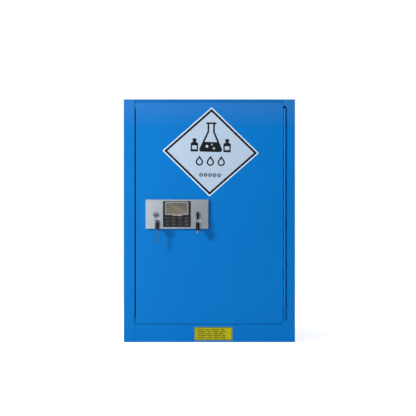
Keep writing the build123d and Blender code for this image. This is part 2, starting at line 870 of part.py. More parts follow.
with BuildPart() as lcd_bezel:
    with BuildSketch(facing(unit_front + bezel_depth)):
        with Locations((unit_x, bezel_z)):
            Rectangle(bezel_width, bezel_height)
            Rectangle(window_width, window_height, mode=Mode.SUBTRACT)
    extrude(amount=bezel_depth + bezel_proud)
    outer_rim = lcd_bezel.faces().sort_by(Axis.Y)[0].edges()
    chamfer(outer_rim, bezel_chamfer)
keep(lcd_bezel.part, "lcd_bezel")

with BuildPart() as lcd_screen:
    with BuildSketch(facing(unit_front - bezel_proud + glass_setback + glass_thick)):
        with Locations((unit_x, bezel_z)):
            Rectangle(window_width - glass_fit, window_height - glass_fit)
    extrude(amount=glass_thick)
keep(lcd_screen.part, "lcd_screen")

for row in range(key_rows):
    for column in range(key_columns):
        key_x = unit_x + (column - (key_columns - 1) / 2) * key_pitch_x
        key_z = keypad_z + ((key_rows - 1) / 2 - row) * key_pitch_z
        with BuildPart() as pad_key:
            with BuildSketch(facing(key_inner)):
                with Locations((key_x, key_z)):
                    RectangleRounded(key_width, key_height, key_corner_r)
            extrude(amount=key_inner - unit_front + key_proud)
            fillet(pad_key.faces().sort_by(Axis.Y)[0].edges(), key_edge_r)
        keep(pad_key.part, f"pad_key_{row * key_columns + column + 1}")

# Lock barrels: flanged sleeves through the faceplate and the skin
with BuildPart() as lock_barrels:
    for lock_x in (left_lock_x, right_lock_x):
        with BuildSketch(facing(barrel_end_y)):
            with Locations((lock_x, lock_z)):
                Circle(barrel_outer_r)
        extrude(amount=barrel_end_y - plate_front)
        with BuildSketch(facing(plate_front)):
            with Locations((lock_x, lock_z)):
                Circle(barrel_flange_r)
        extrude(amount=barrel_flange)
    fillet(lock_barrels.edges().filter_by(GeomType.CIRCLE).group_by(Axis.Y)[0], flange_edge_r)
    for lock_x in (left_lock_x, right_lock_x):
        with BuildSketch(facing(barrel_end_y)):
            with Locations((lock_x, lock_z)):
                Circle(plug_r + plug_fit)
        extrude(amount=barrel_end_y - lock_face, mode=Mode.SUBTRACT)
keep(lock_barrels.part, "lock_barrels")

# Lock case: a channel behind the skin that covers the works and guides them
with BuildPart() as lock_case:
    block(case_left, case_right, case_back_y, case_back_y + sheet, case_bottom, case_top)
    block(case_left, case_right, skin_back, case_back_y, case_bottom, case_bottom + sheet)
    block(case_left, case_right, skin_back, case_back_y, case_top - sheet, case_top)
    rod_slot(keeper_x[0], case_top - 2 * sheet, case_top + 1, hole_gap)
    rod_slot(keeper_x[1], case_bottom - 1, case_bottom + 2 * sheet, hole_gap)
    guide_reach = bolt_height / 2 + fit_gap
    guide_end = case_left + guide_length
    for guide_z in (bolt_z - guide_reach - guide_thick, bolt_z + guide_reach):
        block(case_left, guide_end, bolt_front_y, case_back_y, guide_z, guide_z + guide_thick)
keep(lock_case.part, "lock_case")

# Solenoid with its blocking pin over the bolt
solenoid_low = bolt_z + bolt_height / 2 + solenoid_stroke + solenoid_clear
bolt_mid_y = (bolt_front_y + bolt_back_y) / 2
with BuildPart() as solenoid_body:
    block(
        solenoid_x - solenoid_size / 2,
        solenoid_x + solenoid_size / 2,
        case_back_y - solenoid_size,
        case_back_y,
        solenoid_low,
        solenoid_low + solenoid_height,
    )
    fillet(solenoid_body.edges().filter_by(Axis.Z), solenoid_corner_r)
    with BuildSketch(Plane.XY.offset(solenoid_low)):
        with Locations((solenoid_x, bolt_mid_y)):
            Circle(solenoid_pin_r + plug_fit)
    extrude(amount=solenoid_height - bore_end, mode=Mode.SUBTRACT)
keep(solenoid_body.part, "solenoid_body")

pin_tip = bolt_z + bolt_height / 2 + pin_rest_gap
with BuildPart() as solenoid_pin:
    with BuildSketch(Plane.XY.offset(pin_tip)):
        with Locations((solenoid_x, bolt_mid_y)):
            Circle(solenoid_pin_r)
    extrude(amount=solenoid_low + solenoid_height - bore_end - pin_end_gap - pin_tip)
    chamfer(solenoid_pin.faces().sort_by(Axis.Z)[0].edges(), pin_tip_chamfer)
keep(solenoid_pin.part, "solenoid_pin")

# Deadbolt: bar with a yoke slot for the cam's pin and a notch for each end position
yoke_x = left_lock_x + left_arm_r * quarter
yoke_z = lock_z - left_arm_r * (1 + quarter) / 2
yoke_width = 2 * (left_pin_r + yoke_gap)
yoke_height = left_arm_r * (1 - quarter) + yoke_width
with BuildPart() as deadbolt:
    block(
        bolt_tip,
        yoke_x + bolt_tail,
        bolt_front_y,
        bolt_back_y,
        bolt_z - bolt_height / 2,
        bolt_z + bolt_height / 2,
    )
    chamfer(deadbolt.faces().sort_by(Axis.X)[0].edges().filter_by(Axis.Y), bolt_chamfer)
    with BuildSketch(facing(bolt_back_y + 1)):
        with Locations((yoke_x, yoke_z)):
            SlotOverall(yoke_height, yoke_width, rotation=90)
    extrude(amount=bolt_thick + 2, mode=Mode.SUBTRACT)
    for notch_x in (solenoid_x, solenoid_x + bolt_throw):
        with Locations((notch_x, bolt_mid_y, bolt_z + bolt_height / 2)):
            Box(
                2 * (solenoid_pin_r + notch_side_gap),
                2 * bolt_thick,
                2 * notch_depth,
                mode=Mode.SUBTRACT,
            )
keep(deadbolt.part, "deadbolt")


def rod(side):
    """Locking rod: side +1 runs up from the cam's left pin, -1 down from its right pin."""
    x = right_lock_x - side * rod_offset
    yoke_rest = lock_z - side * right_arm_r * quarter
    tip = door_high - rod_setback if side > 0 else door_low + rod_setback
    z0, z1 = sorted((yoke_rest, tip))
    block(x - rod_width / 2, x + rod_width / 2, rod_front_y, rod_back_y, z0, z1)
    block(
        x - yoke_half_width,
        x + yoke_half_width,
        rod_front_y,
        rod_back_y,
        yoke_rest - yoke_half_height,
        yoke_rest + yoke_half_height,
    )
    slot_width_x = right_arm_r * (1 - quarter) + 2 * (right_pin_r + yoke_gap)
    with BuildSketch(facing(rod_back_y + 1)) as yoke:
        with Locations((x, yoke_rest)):
            SlotOverall(slot_width_x, 2 * (right_pin_r + yoke_gap))
    extrude(yoke.sketch, amount=rod_thick + 2, mode=Mode.SUBTRACT)


with BuildPart() as upper_rod:
    rod(1)
keep(upper_rod.part, "upper_rod")

with BuildPart() as lower_rod:
    rod(-1)
keep(lower_rod.part, "lower_rod")

# Cams on the backs of the plugs, with their drive pins
with BuildPart() as left_cam:
    pin_place = (left_lock_x + left_arm_r * quarter, lock_z - left_arm_r * quarter)
    with BuildSketch(facing(cam_back_y)) as arm:
        with Locations((left_lock_x, lock_z)):
            Circle(cam_hub_r)
        with Locations(pin_place):
            Circle(left_pin_r + cam_margin)
        make_hull(arm.edges())
        with Locations((left_lock_x, lock_z)):
            Circle(tail_r + plug_fit, mode=Mode.SUBTRACT)
    extrude(amount=cam_thick)
    with BuildSketch(facing(bolt_back_y - left_pin_end_gap)):
        with Locations(pin_place):
            Circle(left_pin_r)
    extrude(amount=bolt_back_y - left_pin_end_gap - cam_back_y)
keep(left_cam.part, "left_cam")

with BuildPart() as right_cam:
    reach = right_arm_r * quarter
    pin_places = [(right_lock_x - reach, lock_z - reach), (right_lock_x + reach, lock_z + reach)]
    with BuildSketch(facing(cam_back_y)):
        with Locations((right_lock_x, lock_z)):
            Circle(right_arm_r + right_pin_r + cam_rim)
            Circle(tail_r + plug_fit, mode=Mode.SUBTRACT)
    extrude(amount=cam_thick)
    with BuildSketch(facing(rod_back_y - right_pin_end_gap)):
        with Locations(*pin_places):
            Circle(right_pin_r)
    extrude(amount=rod_back_y - right_pin_end_gap - cam_back_y)
keep(right_cam.part, "right_cam")

# Battery box on the inside of the inner pan
battery_left = right_lock_x + battery_inset
battery_bottom = lock_z - battery_below_lock
with BuildPart() as battery_box:
    block(
        battery_left,
        battery_left + battery_width,
        pan_front - battery_thick,
        pan_front,
        battery_bottom,
        battery_bottom + battery_height,
    )
    fillet(battery_box.edges().filter_by(Axis.Y), battery_corner_r)
keep(battery_box.part, "battery_box")


def lock_plug(lock_x):
    """Turning plug with the tail that carries the cam."""
    with BuildSketch(facing(barrel_end_y)) as plug:
        with Locations((lock_x, lock_z)):
            Circle(plug_r)
    extrude(plug.sketch, amount=barrel_end_y - lock_face)
    with BuildSketch(facing(cam_back_y)) as tail:
        with Locations((lock_x, lock_z)):
            Circle(tail_r)
    extrude(tail.sketch, amount=cam_thick)


# Left plug, with a level keyway for the flat key
blade_end = barrel_end_y - blade_end_gap
with BuildPart() as left_lock_plug:
    lock_plug(left_lock_x)
    block(
        left_lock_x - left_blade_width / 2 - keyway_fit,
        left_lock_x + left_blade_width / 2 + keyway_fit,
        lock_face,
        blade_end + key_tip_gap,
        lock_z - left_bow_thick / 2 - keyway_fit,
        lock_z + left_bow_thick / 2 + keyway_fit,
        mode=Mode.SUBTRACT,
    )
keep(left_lock_plug.part, "left_lock_plug")

# Right plug, with a ring-shaped keyway for the tubular key
tube_end_y = barrel_end_y - tube_end_gap
with BuildPart() as right_lock_plug:
    lock_plug(right_lock_x)
    with BuildSketch(facing(tube_end_y + key_tip_gap)):
        with Locations((right_lock_x, lock_z)):
            Circle(tube_outer_r + tube_fit)
            Circle(tube_inner_r - tube_fit, mode=Mode.SUBTRACT)
    extrude(amount=tube_end_y + key_tip_gap - lock_face, mode=Mode.SUBTRACT)
keep(right_lock_plug.part, "right_lock_plug")

# Left key: flat blade and bow, lying level in the lock
bow_y = lock_face - bow_start
left_ring_y = bow_y - left_bow_length + bow_hole_inset
with BuildPart() as left_key:
    with BuildSketch(Plane.XY.offset(lock_z - left_bow_thick / 2)):
        span(left_lock_x - left_blade_width / 2, left_lock_x + left_blade_width / 2, bow_y - 1, blade_end)
        with Locations((left_lock_x, bow_y - left_bow_length / 2)):
            RectangleRounded(left_bow_width, left_bow_length, left_bow_corner_r)
        with Locations((left_lock_x + left_hole_offset, left_ring_y)):
            RectangleRounded(left_hole_size, left_hole_size, left_hole_corner_r, mode=Mode.SUBTRACT)
    extrude(amount=left_bow_thick)
keep(left_key.part, "left_key")

# Right key: tubular, with an upright moulded bow
right_ring_y = bow_y - right_bow_length + bow_hole_inset
right_hole_z = lock_z - right_bow_drop
side_on = Plane(origin=(right_lock_x - right_bow_thick / 2, 0, 0), x_dir=(0, 1, 0), z_dir=(1, 0, 0))
with BuildPart() as right_key:
    with BuildSketch(side_on):
        with Locations((bow_y - right_bow_length / 2, right_hole_z)):
            RectangleRounded(right_bow_length, right_bow_height, right_bow_corner_r)
        with Locations((right_ring_y, right_hole_z)):
            Circle(bow_hole_r, mode=Mode.SUBTRACT)
    extrude(amount=right_bow_thick)
    for cheek in (0, -1):
        cheek_edges = right_key.faces().sort_by(Axis.X)[cheek].outer_wire().edges()
        fillet(cheek_edges, right_bow_edge_r)
    with BuildSketch(facing(tube_end_y)):
        with Locations((right_lock_x, lock_z)):
            Circle(tube_outer_r)
    extrude(amount=tube_end_y - bow_y + 0.5)
    with BuildSketch(facing(tube_end_y)):
        with Locations((right_lock_x, lock_z)):
            Circle(tube_inner_r)
    extrude(amount=tube_end_y - lock_face + 1, mode=Mode.SUBTRACT)
keep(right_key.part, "right_key")

# Key rings: steel wire, hung in the bows and facing the front
left_ring_x = left_lock_x + left_ring_offset
left_ring_z = lock_z + left_bow_thick / 2 - left_ring_drop
right_ring_z = right_hole_z - (bow_hole_r - ring_wire_r - ring_slack) - ring_r


def key_ring(x, y, z):
    """A closed ring of wire in an upright plane that faces the front."""
    with Locations((x, y, z)):
        Torus(ring_r, ring_wire_r, rotation=(90, 0, 0))


with BuildPart() as left_key_ring:
    key_ring(left_ring_x, left_ring_y, left_ring_z)
keep(left_key_ring.part, "left_key_ring")

with BuildPart() as right_key_ring:
    key_ring(right_lock_x, right_ring_y, right_ring_z)
keep(right_key_ring.part, "right_key_ring")


def spare_head(x, y, ring_z, length, yaw_degrees):
    """Moulded head of a spare key, hung on the ring's lowest point and turned a little."""
    hole_z = ring_z - ring_r - spare_hole_slack
    head_top = hole_z + spare_hole_r + spare_top_margin
    yaw = math.radians(yaw_degrees)
    outward = (math.cos(yaw), math.sin(yaw), 0)
    turned = Plane(origin=(x, y, 0), x_dir=(-math.sin(yaw), math.cos(yaw), 0), z_dir=outward)
    face = turned.offset(-spare_head_thick / 2)
    with BuildSketch(face) as head:
        with Locations((0, head_top - length / 2)):
            RectangleRounded(spare_head_width, length, spare_corner_r)
        with Locations((0, hole_z)):
            Circle(spare_hole_r, mode=Mode.SUBTRACT)
    extrude(head.sketch, amount=spare_head_thick)
    return turned, head_top - length


with BuildPart() as left_spare_key:
    turned_plane, head_low = spare_head(
        left_ring_x, left_ring_y, left_ring_z, left_head_length, left_spare_yaw
    )
    blade_half = left_spare_blade_width / 2
    with BuildSketch(turned_plane.offset(-left_bow_thick / 2)):
        span(-blade_half, blade_half, head_low - left_spare_blade, head_low + 1)
        with Locations((0, head_low - left_spare_blade)):
            Rectangle(tip_slot_width, tip_slot_depth, mode=Mode.SUBTRACT)
        for i, bite in enumerate(bites):
            for edge in (-blade_half, blade_half):
                with Locations((edge, head_low - left_spare_blade + first_bite + bite_pitch * i)):
                    Rectangle(bite, bite_width, mode=Mode.SUBTRACT)
    extrude(amount=left_bow_thick)
keep(left_spare_key.part, "left_spare_key")

with BuildPart() as right_spare_key:
    turned_plane, head_low = spare_head(
        right_lock_x, right_ring_y, right_ring_z, right_head_length, right_spare_yaw
    )
    with BuildSketch(Plane.XY.offset(head_low + 0.5)):
        with Locations((right_lock_x, right_ring_y)):
            Circle(tube_outer_r)
    extrude(amount=-right_spare_tube - 0.5)
    with BuildSketch(Plane.XY.offset(head_low - 1)):
        with Locations((right_lock_x, right_ring_y)):
            Circle(tube_inner_r)
    extrude(amount=-right_spare_tube, mode=Mode.SUBTRACT)
keep(right_spare_key.part, "right_spare_key")
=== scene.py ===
import math

import bpy
from mathutils import Matrix, Vector


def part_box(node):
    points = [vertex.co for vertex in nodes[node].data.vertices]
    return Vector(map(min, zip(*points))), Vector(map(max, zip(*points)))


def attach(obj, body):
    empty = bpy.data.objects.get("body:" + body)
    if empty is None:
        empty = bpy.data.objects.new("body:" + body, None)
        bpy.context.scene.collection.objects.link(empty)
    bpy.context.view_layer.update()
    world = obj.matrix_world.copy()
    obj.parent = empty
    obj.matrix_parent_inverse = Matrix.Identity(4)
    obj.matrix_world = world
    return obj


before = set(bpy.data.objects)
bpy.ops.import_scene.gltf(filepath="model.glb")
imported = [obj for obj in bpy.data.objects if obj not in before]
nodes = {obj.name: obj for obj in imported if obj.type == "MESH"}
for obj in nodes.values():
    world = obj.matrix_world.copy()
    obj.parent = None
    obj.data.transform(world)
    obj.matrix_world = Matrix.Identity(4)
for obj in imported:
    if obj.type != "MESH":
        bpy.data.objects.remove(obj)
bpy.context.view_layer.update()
mm = 0.001
print("frame loaded with", len(nodes), "nodes")

picture = {
    "pixels": 416,
    "mmPerPixel": 3.667,  # at the door's front face
    "middlePx": 209.4,  # column of x = 0
    "floorPx": 342.1,  # row of z = 0
    "distance": 3.3,  # camera to door face
    "standX": -0.06,
    "standZ": 0.445,
    "sensor": 36.0,
    "clipEnd": 50,
}
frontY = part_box("left_stile")[0].y


def setCamera():
    cam = bpy.data.cameras.new("camera")
    body = bpy.data.objects.new("camera", cam)
    bpy.context.scene.collection.objects.link(body)
    bpy.context.scene.camera = body
    px = picture["mmPerPixel"] * mm
    half = picture["pixels"] / 2
    cam.sensor_width = picture["sensor"]
    cam.lens = picture["sensor"] * picture["distance"] / (picture["pixels"] * px)
    cam.shift_x = (half - picture["standX"] / px - picture["middlePx"]) / picture["pixels"]
    cam.shift_y = (picture["floorPx"] - half - picture["standZ"] / px) / picture["pixels"]
    cam.clip_end = picture["clipEnd"]
    body.location = (picture["standX"], frontY - picture["distance"], picture["standZ"])
    body.rotation_euler = (math.pi / 2, 0, 0)


setCamera()
print("camera set")

light = {
    "keyAngle": 52,  # degrees to the left of the door's normal
    "keyRise": 24,  # degrees above level
    "keyDistance": 3.6,
    "keySize": 0.54,
    "keyPower": 102,
    "fillPower": 23,
    "fillSize": 2.4,
    "fillX": -1.5,
    "fillAway": 3.0,  # in front of the door
    "fillZ": 1.15,
    "topPower": 14,
    "topSize": 2.0,
    "topPlace": (-0.4, 0.6, 2.9),
    "backPower": 30,
    "backSize": 2.2,
    "backPlace": (1.5, 3.0, 1.6),
    "world": 0.30,
    "worldTint": (0.93, 0.96, 1.0, 1),
    "aimZ": 0.46,
}
aim = Vector((0, frontY, light["aimZ"]))


def areaLight(name, place, size, power):
    lamp = bpy.data.lights.new(name, "AREA")
    lamp.size = size
    lamp.energy = power
    body = bpy.data.objects.new(name, lamp)
    bpy.context.scene.collection.objects.link(body)
    body.location = place
    body.rotation_euler = (aim - Vector(place)).to_track_quat("-Z", "Y").to_euler()
    body.visible_camera = False


def setLights():
    side = math.radians(light["keyAngle"])
    rise = math.radians(light["keyRise"])
    away = Vector((-math.sin(side) * math.cos(rise), -math.cos(side) * math.cos(rise), math.sin(rise)))
    areaLight("keyLight", aim + away * light["keyDistance"], light["keySize"], light["keyPower"])
    fillPlace = (light["fillX"], frontY - light["fillAway"], light["fillZ"])
    areaLight("fillLight", fillPlace, light["fillSize"], light["fillPower"])
    areaLight("topLight", light["topPlace"], light["topSize"], light["topPower"])
    areaLight("backLight", light["backPlace"], light["backSize"], light["backPower"])


def setWorld():
    world = bpy.data.worlds.new("surroundings")
    bpy.context.scene.world = world
    world.use_nodes = True
    tree = world.node_tree
    tree.nodes.clear()
    out = tree.nodes.new("ShaderNodeOutputWorld")
    mix = tree.nodes.new("ShaderNodeMixShader")
    soft = tree.nodes.new("ShaderNodeBackground")
    white = tree.nodes.new("ShaderNodeBackground")
    path = tree.nodes.new("ShaderNodeLightPath")
    soft.inputs["Color"].default_value = light["worldTint"]
    soft.inputs["Strength"].default_value = light["world"]
    white.inputs["Strength"].default_value = 1.0
    white.inputs["Color"].default_value = (1, 1, 1, 1)
    tree.links.new(path.outputs["Is Camera Ray"], mix.inputs[0])
    tree.links.new(soft.outputs[0], mix.inputs[1])
    tree.links.new(white.outputs[0], mix.inputs[2])
    tree.links.new(mix.outputs[0], out.inputs[0])


ground = {
    "size": 14.0,
    "drop": 0.0004,  # below the base, so that the two don't flicker
    "glow": 0.68,  # seen by the camera only
    "shade": 0.82,
    "fadeFrom": 0.7,
    "fadeTo": 2.2,  # plain white from here on
}


def setFloor():
    size = ground["size"]
    mesh = bpy.data.meshes.new("floor")
    corners = [(-size, -size, 0), (size, -size, 0), (size, size, 0), (-size, size, 0)]
    mesh.from_pydata(corners, [], [(0, 1, 2, 3)])
    floor = bpy.data.objects.new("floor", mesh)
    bpy.context.scene.collection.objects.link(floor)
    floor.location.z = -ground["drop"]
    made = bpy.data.materials.new("paleFloor")
    made.use_nodes = True
    tree = made.node_tree
    tree.nodes.clear()
    out = tree.nodes.new("ShaderNodeOutputMaterial")
    matt = tree.nodes.new("ShaderNodeBsdfDiffuse")
    glow = tree.nodes.new("ShaderNodeEmission")
    both = tree.nodes.new("ShaderNodeAddShader")
    path = tree.nodes.new("ShaderNodeLightPath")
    scale = tree.nodes.new("ShaderNodeMath")
    scale.operation = "MULTIPLY"
    scale.inputs[1].default_value = ground["glow"]
    matt.inputs["Color"].default_value = (*[ground["shade"]] * 3, 1)
    tree.links.new(path.outputs["Is Camera Ray"], scale.inputs[0])
    tree.links.new(scale.outputs[0], glow.inputs["Strength"])
    tree.links.new(matt.outputs[0], both.inputs[0])
    tree.links.new(glow.outputs[0], both.inputs[1])
    place = tree.nodes.new("ShaderNodeTexCoord")
    reach = tree.nodes.new("ShaderNodeVectorMath")
    reach.operation = "LENGTH"
    fade = tree.nodes.new("ShaderNodeMapRange")
    fade.interpolation_type = "SMOOTHSTEP"
    fade.inputs["From Min"].default_value = ground["fadeFrom"]
    fade.inputs["From Max"].default_value = ground["fadeTo"]
    seen = tree.nodes.new("ShaderNodeMath")
    seen.operation = "MULTIPLY"
    white = tree.nodes.new("ShaderNodeEmission")
    whole = tree.nodes.new("ShaderNodeMixShader")
    tree.links.new(place.outputs["Object"], reach.inputs[0])
    tree.links.new(reach.outputs["Value"], fade.inputs["Value"])
    tree.links.new(fade.outputs["Result"], seen.inputs[0])
    tree.links.new(path.outputs["Is Camera Ray"], seen.inputs[1])
    tree.links.new(seen.outputs[0], whole.inputs[0])
    tree.links.new(both.outputs[0], whole.inputs[1])
    tree.links.new(white.outputs[0], whole.inputs[2])
    tree.links.new(whole.outputs[0], out.inputs[0])
    mesh.materials.append(made)


setLights()
setWorld()
setFloor()
bpy.context.scene.view_settings.view_transform = "Standard"
print("lights, floor and surroundings set")


class Finish:  # a principled shader with short calls for the detail on it
    def __init__(self, name, colour, rough, metal=0.0, specular=0.5):
        self.material = bpy.data.materials.new(name)
        self.material.use_nodes = True
        self.tree = self.material.node_tree
        self.tree.nodes.clear()
        self.out = self.add("ShaderNodeOutputMaterial")
        self.shader = self.add("ShaderNodeBsdfPrincipled")
        self.join(self.shader.outputs[0], self.out.inputs[0])
        self.setting("Base Color", (*colour, 1))
        self.setting("Roughness", rough)
        self.setting("Metallic", metal)
        self.setting("Specular IOR Level", specular)
        self.place = self.add("ShaderNodeTexCoord").outputs["Object"]

    def add(self, kind, **values):
        node = self.tree.nodes.new(kind)
        for key, value in values.items():
            setattr(node, key, value)
        return node

    def join(self, start, end):
        self.tree.links.new(start, end)

    def setting(self, socket, value):
        self.shader.inputs[socket].default_value = value

    def noise(self, scale, detail=3.0, stretch=(1, 1, 1), rough=0.55):
        node = self.add("ShaderNodeTexNoise")
        node.inputs["Scale"].default_value = scale
        node.inputs["Detail"].default_value = detail
        node.inputs["Roughness"].default_value = rough
        warp = self.add("ShaderNodeMapping")
        warp.inputs["Scale"].default_value = stretch
        self.join(self.place, warp.inputs[0])
        self.join(warp.outputs[0], node.inputs["Vector"])
        return node.outputs["Fac"]

    def cells(self, scale):
        node = self.add("ShaderNodeTexVoronoi")
        node.inputs["Scale"].default_value = scale
        self.join(self.place, node.inputs["Vector"])
        return node

    def spread(self, value, low, high, newLow, newHigh):
        node = self.add("ShaderNodeMapRange")
        for key, number in (("From Min", low), ("From Max", high), ("To Min", newLow), ("To Max", newHigh)):
            node.inputs[key].default_value = number
        self.join(value, node.inputs["Value"])
        return node.outputs["Result"]

    def blend(self, factor, first, second):  # of two colours or colour sockets
        node = self.add("ShaderNodeMix", data_type="RGBA")
        self.join(factor, node.inputs["Factor"])
        for socket, value in ((node.inputs[6], first), (node.inputs[7], second)):
            if isinstance(value, bpy.types.NodeSocket):
                self.join(value, socket)
            else:
                socket.default_value = (*value, 1)
        return node.outputs[2]

    def colour(self, socket):
        self.join(socket, self.shader.inputs["Base Color"])

    def roughness(self, socket):
        self.join(socket, self.shader.inputs["Roughness"])

    def bump(self, *layers):  # each a height socket with its depth in metres
        last = None
        for height, depth in layers:
            node = self.add("ShaderNodeBump")
            node.inputs["Strength"].default_value = 1.0
            node.inputs["Distance"].default_value = depth
            self.join(height, node.inputs["Height"])
            if last is not None:
                self.join(last, node.inputs["Normal"])
            last = node.outputs["Normal"]
        self.join(last, self.shader.inputs["Normal"])

    def height(self, axis):
        split = self.add("ShaderNodeSeparateXYZ")
        self.join(self.place, split.inputs[0])
        return split.outputs[axis]

    def above(self, axis, edge):
        node = self.add("ShaderNodeMath", operation="GREATER_THAN")
        self.join(self.height(axis), node.inputs[0])
        node.inputs[1].default_value = edge
        return node.outputs[0]


def mixed(colour, other, share):
    return tuple(a + (b - a) * share for a, b in zip(colour, other))


paint = {
    "blue": (0.0005, 0.174, 0.548),
    "deep": (0.0003, 0.163, 0.518),
    "pale": (0.006, 0.198, 0.590),
    "specular": 0.09,
    "rough": (0.30, 0.42),
    "clouds": 3.2,
    "flecks": 240,
    "fleckSpan": (0.62, 0.78),
    "fleckShare": 0.3,
    "smears": 9,
    "smearStretch": (1, 1, 0.35),
    "smearSpan": (0.25, 0.75),
    "peelScale": 620,
    "peel": 0.00005,  # depth of the orange peel
    "waveScale": 5.5,
    "wave": 0.0009,
    "dustAndSheen": (0.024, 0.172, 0.515),  # painted sheen, a faint paler tint towards the top
    "sheenFrom": 0.785,
    "sheenTo": 0.862,
}
noiseSpan = (0.3, 0.7)  # where most of a noise lies


def powderCoat(name, darkening=0.0, dull=0.0, withDustAndSheen=0.8):
    low, high = paint["rough"]
    f = Finish(name, paint["blue"], (low + high) / 2, specular=paint["specular"])
    # darkening towards black; on the top rail this is painted shade
    deep, blue, pale = (mixed(paint[key], (0, 0, 0), darkening) for key in ("deep", "blue", "pale"))
    cloudy = f.noise(paint["clouds"], 3)
    flecks = f.noise(paint["flecks"], 2)
    base = f.blend(f.spread(cloudy, *noiseSpan, 0, 1), deep, blue)
    base = f.blend(f.spread(flecks, *paint["fleckSpan"], 0, paint["fleckShare"]), base, pale)
    # painted sheen: the paint turns paler towards the top, by height
    paintedSheen = f.spread(f.height("Z"), paint["sheenFrom"], paint["sheenTo"], 0, withDustAndSheen)
    f.colour(f.blend(paintedSheen, base, mixed(paint["dustAndSheen"], (0, 0, 0), darkening)))
    smears = f.noise(paint["smears"], 5, stretch=paint["smearStretch"])
    f.roughness(f.spread(smears, *paint["smearSpan"], low + dull, high + dull))
    peel = f.noise(paint["peelScale"], 2)
    wave = f.noise(paint["waveScale"], 1)
    f.bump((peel, paint["peel"]), (wave, paint["wave"]))
    return f.material


steel = {
    "bright": (0.62, 0.69, 0.745),
    "dark": (0.555, 0.62, 0.68),
    "worn": (0.3, 0.3, 0.32),
    "wornMix": 0.3,
    "rough": (0.18, 0.26),
    "alongX": (4, 60, 1500),  # stretch of the hairlines
    "alongZ": (1500, 60, 4),
    "hairSpan": (0.35, 0.65),
    "hairDepth": 0.000012,
    "toneScale": 14,
    "toneSpan": (0.4, 0.75),
    "toneShare": 0.25,
    "anisotropic": 0.5,
}


def brushedSteel(name, along="alongX", bright=steel["bright"], dark=steel["dark"]):
    low, high = steel["rough"]
    f = Finish(name, bright, (low + high) / 2, metal=1.0)
    hair = f.noise(1, 4, stretch=steel[along])
    tone = f.noise(steel["toneScale"], 3)
    base = f.blend(f.spread(hair, *steel["hairSpan"], 0, 1), dark, bright)
    worn = mixed(dark, steel["worn"], steel["wornMix"])
    f.colour(f.blend(f.spread(tone, *steel["toneSpan"], 0, steel["toneShare"]), base, worn))
    f.roughness(f.spread(hair, *noiseSpan, low, high))
    f.setting("Anisotropic", steel["anisotropic"])
    f.bump((hair, steel["hairDepth"]))
    return f.material


zincLook = {
    "bright": (0.50, 0.52, 0.54),
    "dark": (0.36, 0.38, 0.41),
    "spangle": 130,
    "metal": 0.9,
    "rough": (0.32, 0.52),
    "roughScale": 60,
    "grain": 400,
    "grainDepth": 0.00003,
}


def zincPlate(name, **changes):
    look = {**zincLook, **changes}
    f = Finish(name, look["bright"], sum(look["rough"]) / 2, metal=look["metal"])
    patches = f.cells(look["spangle"])
    f.colour(f.blend(patches.outputs["Color"], look["dark"], look["bright"]))
    f.roughness(f.spread(f.noise(look["roughScale"], 3), *noiseSpan, *look["rough"]))
    f.bump((f.noise(look["grain"], 2), look["grainDepth"]))
    return f.material


polish = {
    "rubScale": 90,
    "rubSpan": (0.4, 0.7),
    "rubbed": (0.3, 0.28, 0.26),
    "rubbedMix": 0.3,
    "grain": 900,
    "depth": 0.00001,
}


def polished(name, colour, rough):
    f = Finish(name, colour, sum(rough) / 2, metal=1.0)
    rub = f.noise(polish["rubScale"], 4)
    rubbed = mixed(colour, polish["rubbed"], polish["rubbedMix"])
    f.colour(f.blend(f.spread(rub, *polish["rubSpan"], 0, 1), colour, rubbed))
    f.roughness(f.spread(rub, *noiseSpan, *rough))
    f.bump((f.noise(polish["grain"], 2), polish["depth"]))
    return f.material


mouldLook = {
    "shadeScale": 35,
    "shadeSpan": (0.35, 0.7),
    "dustAndSheen": (0.12, 0.12, 0.12),
    "dustShare": 0.08,
    "rubScale": 60,
}


def moulded(name, colour, rough=(0.42, 0.56), grain=900, depth=0.00003, specular=0.3):
    look = mouldLook
    f = Finish(name, colour, sum(rough) / 2, specular=specular)
    withDustAndSheen = mixed(colour, look["dustAndSheen"], look["dustShare"])
    f.colour(f.blend(f.spread(f.noise(look["shadeScale"], 3), *look["shadeSpan"], 0, 1), colour, withDustAndSheen))
    f.roughness(f.spread(f.noise(look["rubScale"], 4), *noiseSpan, *rough))
    f.bump((f.noise(grain, 2), depth))
    return f.material


printLook = {"rough": (0.24, 0.40), "roughScale": 20, "ripple": 60, "rippleDepth": 0.00005}


def printedSheet(name, colour, other, mottle=30, specular=0.5):
    look = printLook
    f = Finish(name, colour, sum(look["rough"]) / 2, specular=specular)
    f.colour(f.blend(f.spread(f.noise(mottle, 4), *noiseSpan, 0, 1), colour, other))
    f.roughness(f.spread(f.noise(look["roughScale"], 3), *noiseSpan, *look["rough"]))
    f.bump((f.noise(look["ripple"], 2), look["rippleDepth"]))
    return f.material


keyLook = {
    "black": (0.003, 0.003, 0.005),
    "steel": (0.36, 0.36, 0.36),
    "eyeSteel": (0.16365, 0.16365, 0.16475),
    "eyeMetal": 0.9,
    "specular": 0.12,
    "wearScale": 120,
    "wearSpan": (0.4, 0.7),
    "worn": (0.2, 0.2, 0.2),
    "wornShare": 0.06,
    "rough": (0.28, 0.46),
    "grain": 700,
    "grainDepth": 0.00002,
}


